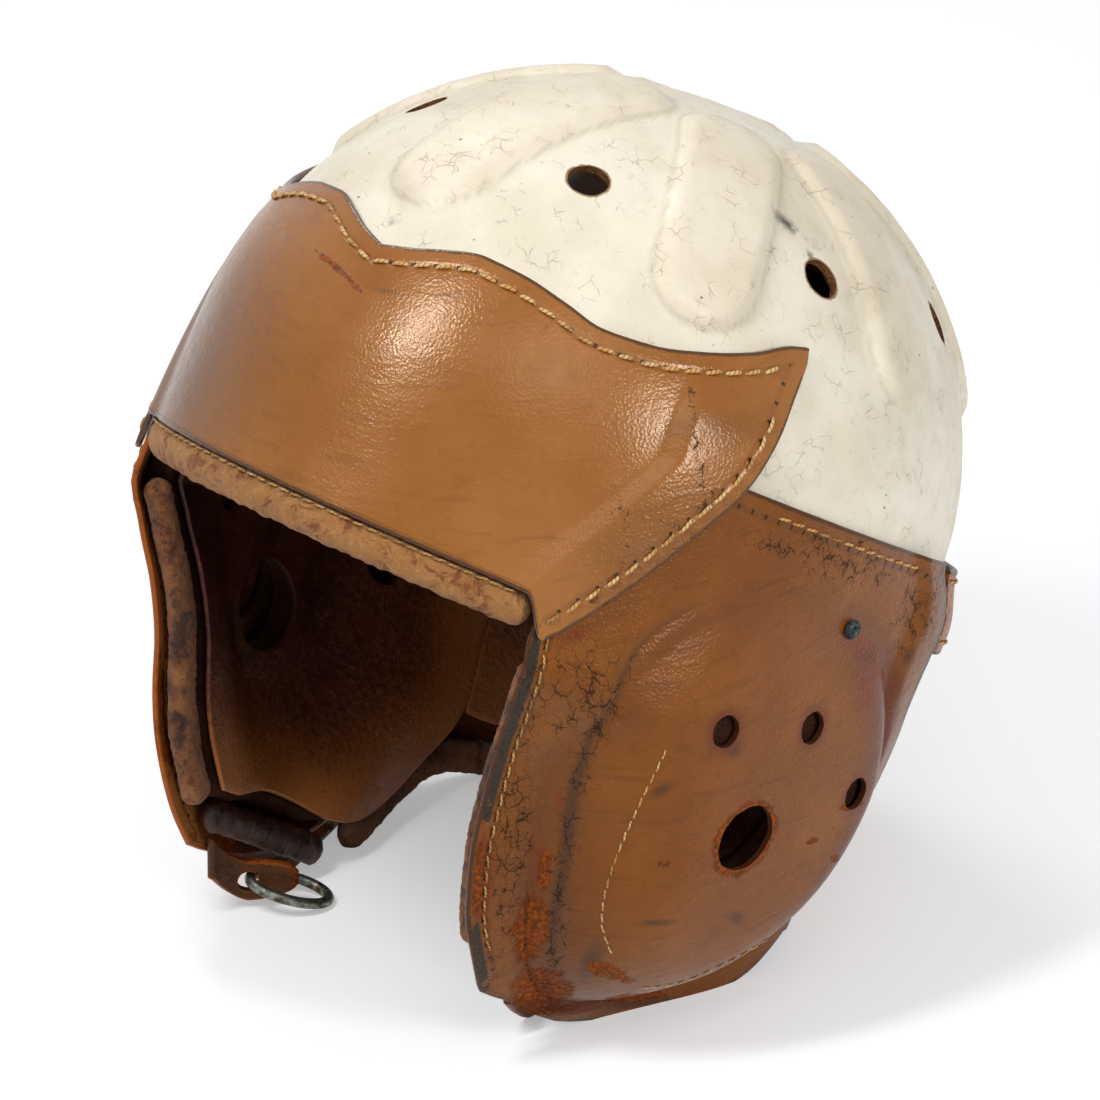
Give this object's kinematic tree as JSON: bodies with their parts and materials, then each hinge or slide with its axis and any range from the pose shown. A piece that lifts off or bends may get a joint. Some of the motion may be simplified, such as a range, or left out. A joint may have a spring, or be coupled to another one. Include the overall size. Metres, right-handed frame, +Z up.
{
  "type": "football helmet",
  "caption": "Early leather football helmet: ribbed hard crown with vents over a stitched leather skirt with moulded ear domes, felt padding and a chin ring.",
  "frame": {"origin": "on the table under the middle of the helmet's bounding box, with the helmet resting on its flaps and nape as pictured", "axes": "+X toward the wearer's left ear, -Y toward the face opening, +Z up from the table; the helmet leans back 34 degrees from the way it is worn"},
  "size_m": [0.2256, 0.2553, 0.2626],
  "materials": {
    "crown_paint": "aged ivory enamel on pressed fibre, crazed and specked",
    "front_leather": "tan strap leather, semi-gloss, dry and cracked in places",
    "side_leather": "brown strap leather, moulded over the ears, crazed, worn to orange suede at the edges",
    "lining_leather": "dark red-brown lining leather, scratched",
    "binding_suede": "pale gold suede binding, fuzzy and soiled",
    "felt": "grey-brown wool felt",
    "webbing": "off-white cotton webbing",
    "steel": "dull grey-green blackened steel"
  },
  "bodies": {
    "helmet": {"crown_shell": "crown_paint", "front_panel": "front_leather", "brow_roll": "binding_suede", "brow_pad": "felt", "sweatband": "lining_leather", "nape_panel": "side_leather", "nape_roll": "binding_suede", "rear_band": "front_leather", "nape_lining": "lining_leather", "nape_pad": "felt", "head_band": "lining_leather", "web_strap_1": "webbing", "web_strap_2": "webbing", "web_strap_3": "webbing", "crown_felt": "felt", "side_panel_left": "side_leather", "side_panel_right": "side_leather", "ear_pad_left": "felt", "ear_pad_right": "felt", "ear_lining_left": "lining_leather", "ear_lining_right": "lining_leather", "dome_ring_left": "felt", "dome_ring_right": "felt", "front_roll_left": "binding_suede", "front_roll_right": "binding_suede", "bottom_roll_left": "lining_leather", "bottom_roll_right": "lining_leather", "hem_roll_left": "binding_suede", "hem_roll_right": "binding_suede", "ear_rivet_left": "steel", "ear_rivet_right": "steel", "rivet_burr_left": "steel", "rivet_burr_right": "steel", "chin_tab_left": "side_leather", "chin_tab_right": "side_leather"},
    "ring": {"chin_ring_right": "steel"}
  },
  "joints": [
    {"name": "ring_swing", "type": "hinge", "parent": "helmet", "child": "ring", "pos_m": [-0.05553, -0.07703, 0.0093], "axis": [0.788, -0.6157, 0], "range_deg": [-165, 25]}
  ]
}
